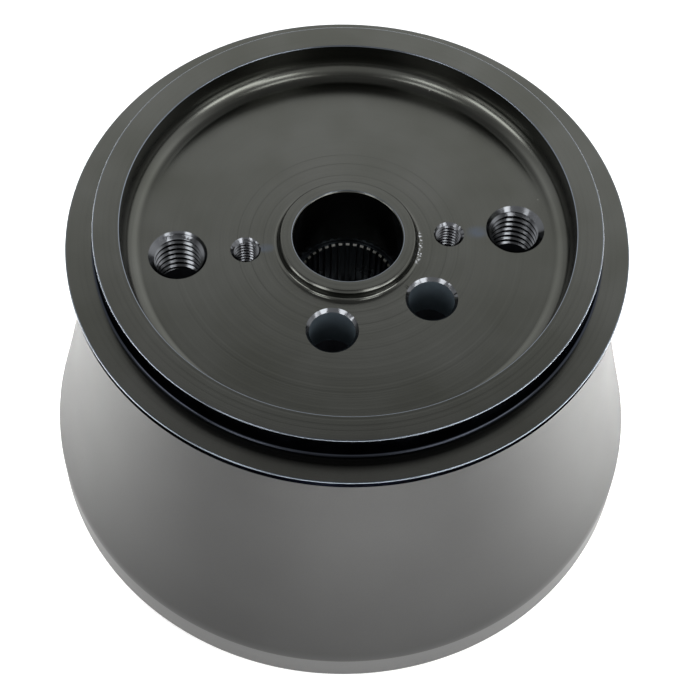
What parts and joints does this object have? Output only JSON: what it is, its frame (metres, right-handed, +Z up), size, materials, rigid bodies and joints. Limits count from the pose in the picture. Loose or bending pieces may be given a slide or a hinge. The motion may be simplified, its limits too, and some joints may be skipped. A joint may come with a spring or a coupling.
{
  "type": "sailboat winch",
  "caption": "Low-profile deck winch: a flared black drum with a dished, drilled top and a splined bore, turning on roller bearings over a fixed stem with ratchet pawls.",
  "frame": {"origin": "centre of the base plate's foot, on the deck", "axes": "+Z up along the drum's axis, -Y towards the side with the two plain holes"},
  "size_m": [0.1394, 0.1394, 0.085],
  "materials": {
    "black_anodised_aluminium": "black anodised, turned satin on top, bead blasted on the rope surface",
    "grey_anodised_aluminium": "clear anodised, machined",
    "stainless_steel": "machined",
    "bronze": "turned",
    "acetal": "turned",
    "spring_steel": "blued and oiled"
  },
  "bodies": {
    "base": {"base_plate": "grey_anodised_aluminium", "centre_stem": "stainless_steel", "stem_screw_1": "stainless_steel", "stem_screw_2": "stainless_steel", "stem_screw_3": "stainless_steel", "stem_screw_4": "stainless_steel", "stem_screw_5": "stainless_steel", "stem_screw_6": "stainless_steel", "spindle_bush": "bronze", "hub_thrust_washer": "bronze", "spindle_washer": "stainless_steel", "bearing_thrust_ring": "acetal", "bearing_spacer": "acetal", "stem_circlip": "spring_steel", "pawl_pin_1": "stainless_steel", "pawl_pin_2": "stainless_steel", "pawl_pin_3": "stainless_steel", "pawl_spring_1": "spring_steel", "pawl_spring_2": "spring_steel", "pawl_spring_3": "spring_steel"},
    "drum": {"drum": "black_anodised_aluminium", "spline_insert": "stainless_steel", "ratchet_ring": "stainless_steel", "ratchet_screw_1": "stainless_steel", "ratchet_screw_2": "stainless_steel", "ratchet_screw_3": "stainless_steel", "ratchet_screw_4": "stainless_steel", "ratchet_screw_5": "stainless_steel", "ratchet_screw_6": "stainless_steel", "main_spindle": "stainless_steel", "spindle_circlip": "spring_steel"},
    "lower_cage": {"cage_lower": "acetal"},
    "upper_cage": {"cage_upper": "acetal"},
    "roller_lower_1": {"roller_lower_1": "stainless_steel"},
    "roller_lower_2": {"roller_lower_2": "stainless_steel"},
    "roller_lower_3": {"roller_lower_3": "stainless_steel"},
    "roller_lower_4": {"roller_lower_4": "stainless_steel"},
    "roller_lower_5": {"roller_lower_5": "stainless_steel"},
    "roller_lower_6": {"roller_lower_6": "stainless_steel"},
    "roller_lower_7": {"roller_lower_7": "stainless_steel"},
    "roller_lower_8": {"roller_lower_8": "stainless_steel"},
    "roller_upper_1": {"roller_upper_1": "stainless_steel"},
    "roller_upper_2": {"roller_upper_2": "stainless_steel"},
    "roller_upper_3": {"roller_upper_3": "stainless_steel"},
    "roller_upper_4": {"roller_upper_4": "stainless_steel"},
    "roller_upper_5": {"roller_upper_5": "stainless_steel"},
    "roller_upper_6": {"roller_upper_6": "stainless_steel"},
    "roller_upper_7": {"roller_upper_7": "stainless_steel"},
    "roller_upper_8": {"roller_upper_8": "stainless_steel"},
    "pawl_1": {"pawl_1": "stainless_steel"},
    "pawl_2": {"pawl_2": "stainless_steel"},
    "pawl_3": {"pawl_3": "stainless_steel"}
  },
  "joints": [
    {"name": "drum_spin", "type": "hinge", "parent": "base", "child": "drum", "pos_m": [0, 0, 0.04], "axis": [0, 0, 1], "continuous": true},
    {"name": "lower_cage_spin", "type": "hinge", "parent": "base", "child": "lower_cage", "pos_m": [0, 0, 0.025], "axis": [0, 0, 1], "continuous": true},
    {"name": "roller_lower_1_spin", "type": "hinge", "parent": "lower_cage", "child": "roller_lower_1", "pos_m": [0.0393, 0, 0.025], "axis": [0, 0, 1], "continuous": true},
    {"name": "roller_lower_2_spin", "type": "hinge", "parent": "lower_cage", "child": "roller_lower_2", "pos_m": [0.02779, 0.02779, 0.025], "axis": [0, 0, 1], "continuous": true},
    {"name": "roller_lower_3_spin", "type": "hinge", "parent": "lower_cage", "child": "roller_lower_3", "pos_m": [0, 0.0393, 0.025], "axis": [0, 0, 1], "continuous": true},
    {"name": "roller_lower_4_spin", "type": "hinge", "parent": "lower_cage", "child": "roller_lower_4", "pos_m": [-0.02779, 0.02779, 0.025], "axis": [0, 0, 1], "continuous": true},
    {"name": "roller_lower_5_spin", "type": "hinge", "parent": "lower_cage", "child": "roller_lower_5", "pos_m": [-0.0393, 0, 0.025], "axis": [0, 0, 1], "continuous": true},
    {"name": "roller_lower_6_spin", "type": "hinge", "parent": "lower_cage", "child": "roller_lower_6", "pos_m": [-0.02779, -0.02779, 0.025], "axis": [0, 0, 1], "continuous": true},
    {"name": "roller_lower_7_spin", "type": "hinge", "parent": "lower_cage", "child": "roller_lower_7", "pos_m": [0, -0.0393, 0.025], "axis": [0, 0, 1], "continuous": true},
    {"name": "roller_lower_8_spin", "type": "hinge", "parent": "lower_cage", "child": "roller_lower_8", "pos_m": [0.02779, -0.02779, 0.025], "axis": [0, 0, 1], "continuous": true},
    {"name": "upper_cage_spin", "type": "hinge", "parent": "base", "child": "upper_cage", "pos_m": [0, 0, 0.052], "axis": [0, 0, 1], "continuous": true},
    {"name": "roller_upper_1_spin", "type": "hinge", "parent": "upper_cage", "child": "roller_upper_1", "pos_m": [0.0393, 0, 0.052], "axis": [0, 0, 1], "continuous": true},
    {"name": "roller_upper_2_spin", "type": "hinge", "parent": "upper_cage", "child": "roller_upper_2", "pos_m": [0.02779, 0.02779, 0.052], "axis": [0, 0, 1], "continuous": true},
    {"name": "roller_upper_3_spin", "type": "hinge", "parent": "upper_cage", "child": "roller_upper_3", "pos_m": [0, 0.0393, 0.052], "axis": [0, 0, 1], "continuous": true},
    {"name": "roller_upper_4_spin", "type": "hinge", "parent": "upper_cage", "child": "roller_upper_4", "pos_m": [-0.02779, 0.02779, 0.052], "axis": [0, 0, 1], "continuous": true},
    {"name": "roller_upper_5_spin", "type": "hinge", "parent": "upper_cage", "child": "roller_upper_5", "pos_m": [-0.0393, 0, 0.052], "axis": [0, 0, 1], "continuous": true},
    {"name": "roller_upper_6_spin", "type": "hinge", "parent": "upper_cage", "child": "roller_upper_6", "pos_m": [-0.02779, -0.02779, 0.052], "axis": [0, 0, 1], "continuous": true},
    {"name": "roller_upper_7_spin", "type": "hinge", "parent": "upper_cage", "child": "roller_upper_7", "pos_m": [0, -0.0393, 0.052], "axis": [0, 0, 1], "continuous": true},
    {"name": "roller_upper_8_spin", "type": "hinge", "parent": "upper_cage", "child": "roller_upper_8", "pos_m": [0.02779, -0.02779, 0.052], "axis": [0, 0, 1], "continuous": true},
    {"name": "pawl_1_pivot", "type": "hinge", "parent": "base", "child": "pawl_1", "pos_m": [0, 0.041, 0.012], "axis": [0, 0, 1], "range_deg": [-10, 0], "stiffness_Nm_per_rad": 0.02, "springref_deg": 11.46},
    {"name": "pawl_2_pivot", "type": "hinge", "parent": "base", "child": "pawl_2", "pos_m": [-0.03551, -0.0205, 0.012], "axis": [0, 0, 1], "range_deg": [-10, 0], "stiffness_Nm_per_rad": 0.02, "springref_deg": 11.46},
    {"name": "pawl_3_pivot", "type": "hinge", "parent": "base", "child": "pawl_3", "pos_m": [0.03551, -0.0205, 0.012], "axis": [0, 0, 1], "range_deg": [-10, 0], "stiffness_Nm_per_rad": 0.02, "springref_deg": 11.46}
  ],
  "couplings": [
    {"joint": "lower_cage_spin", "follows": "drum_spin", "ratio": 0.54962},
    {"joint": "roller_lower_1_spin", "follows": "drum_spin", "ratio": 4.9888},
    {"joint": "roller_lower_2_spin", "follows": "drum_spin", "ratio": 4.9888},
    {"joint": "roller_lower_3_spin", "follows": "drum_spin", "ratio": 4.9888},
    {"joint": "roller_lower_4_spin", "follows": "drum_spin", "ratio": 4.9888},
    {"joint": "roller_lower_5_spin", "follows": "drum_spin", "ratio": 4.9888},
    {"joint": "roller_lower_6_spin", "follows": "drum_spin", "ratio": 4.9888},
    {"joint": "roller_lower_7_spin", "follows": "drum_spin", "ratio": 4.9888},
    {"joint": "roller_lower_8_spin", "follows": "drum_spin", "ratio": 4.9888},
    {"joint": "upper_cage_spin", "follows": "drum_spin", "ratio": 0.54962},
    {"joint": "roller_upper_1_spin", "follows": "drum_spin", "ratio": 4.9888},
    {"joint": "roller_upper_2_spin", "follows": "drum_spin", "ratio": 4.9888},
    {"joint": "roller_upper_3_spin", "follows": "drum_spin", "ratio": 4.9888},
    {"joint": "roller_upper_4_spin", "follows": "drum_spin", "ratio": 4.9888},
    {"joint": "roller_upper_5_spin", "follows": "drum_spin", "ratio": 4.9888},
    {"joint": "roller_upper_6_spin", "follows": "drum_spin", "ratio": 4.9888},
    {"joint": "roller_upper_7_spin", "follows": "drum_spin", "ratio": 4.9888},
    {"joint": "roller_upper_8_spin", "follows": "drum_spin", "ratio": 4.9888}
  ]
}
